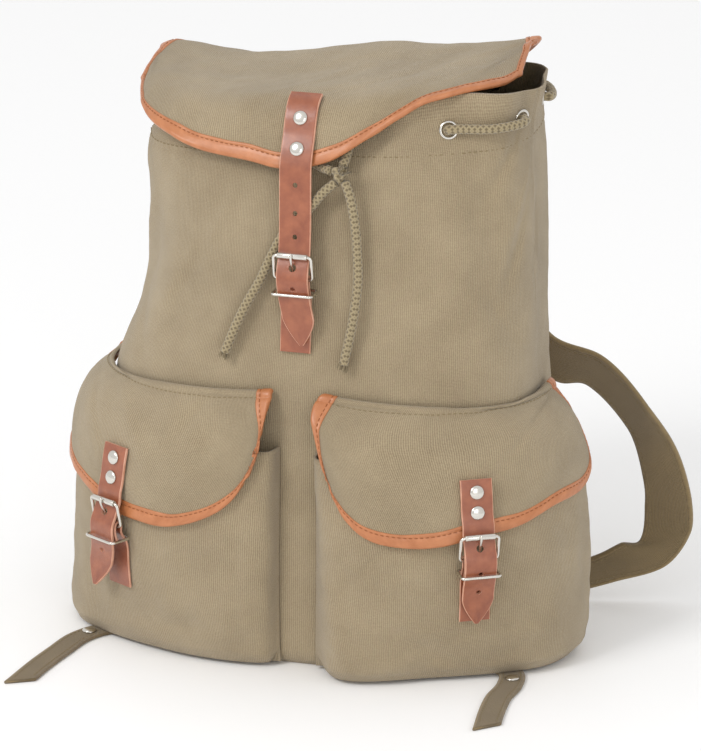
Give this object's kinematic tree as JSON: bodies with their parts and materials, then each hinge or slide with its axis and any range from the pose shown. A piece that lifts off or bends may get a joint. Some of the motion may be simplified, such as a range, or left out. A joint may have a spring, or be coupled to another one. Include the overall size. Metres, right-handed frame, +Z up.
{
  "type": "rucksack",
  "caption": "Canvas rucksack with a drawstring mouth, a bound lid flap, two front pockets and buckled leather straps.",
  "frame": {"origin": "on the floor, in the middle of the sack's flat base", "axes": "+Z up, -Y out from the front with the pockets, +X to the right of somebody who looks at the front"},
  "size_m": [0.3964, 0.2816, 0.3973],
  "materials": {
    "canvas": "heavy ribbed cotton canvas, khaki",
    "binding": "folded tan binding with a stitch line",
    "leather": "glossy red-brown strap leather with pale cut edges",
    "cord": "braided cotton cord",
    "nickel": "bright nickel plate"
  },
  "bodies": {
    "root": {"bag_body": "canvas", "cord_end_left": "cord", "cord_end_right": "cord", "cord_knot": "cord", "drawcord": "cord", "eyelet_1": "nickel", "eyelet_10": "nickel", "eyelet_11": "nickel", "eyelet_12": "nickel", "eyelet_2": "nickel", "eyelet_3": "nickel", "eyelet_4": "nickel", "eyelet_5": "nickel", "eyelet_6": "nickel", "eyelet_7": "nickel", "eyelet_8": "nickel", "eyelet_9": "nickel", "lower_strap_left": "canvas", "lower_strap_left_rivet": "nickel", "lower_strap_right": "canvas", "lower_strap_right_rivet": "nickel", "main_buckle": "nickel", "main_flap": "canvas", "main_flap_binding": "binding", "main_keeper": "nickel", "main_prong": "nickel", "main_rivet_1": "nickel", "main_rivet_2": "nickel", "main_roller": "nickel", "main_strap": "leather", "main_tab": "leather", "pocket_flap_left": "canvas", "pocket_flap_left_binding": "binding", "pocket_flap_right": "canvas", "pocket_flap_right_binding": "binding", "pocket_left": "canvas", "pocket_left_buckle": "nickel", "pocket_left_keeper": "nickel", "pocket_left_prong": "nickel", "pocket_left_rivet_1": "nickel", "pocket_left_rivet_2": "nickel", "pocket_left_roller": "nickel", "pocket_left_strap": "leather", "pocket_left_tab": "leather", "pocket_right": "canvas", "pocket_right_buckle": "nickel", "pocket_right_keeper": "nickel", "pocket_right_prong": "nickel", "pocket_right_rivet_1": "nickel", "pocket_right_rivet_2": "nickel", "pocket_right_roller": "nickel", "pocket_right_strap": "leather", "pocket_right_tab": "leather", "shoulder_strap_left": "canvas", "shoulder_strap_right": "canvas"}
  },
  "joints": []
}
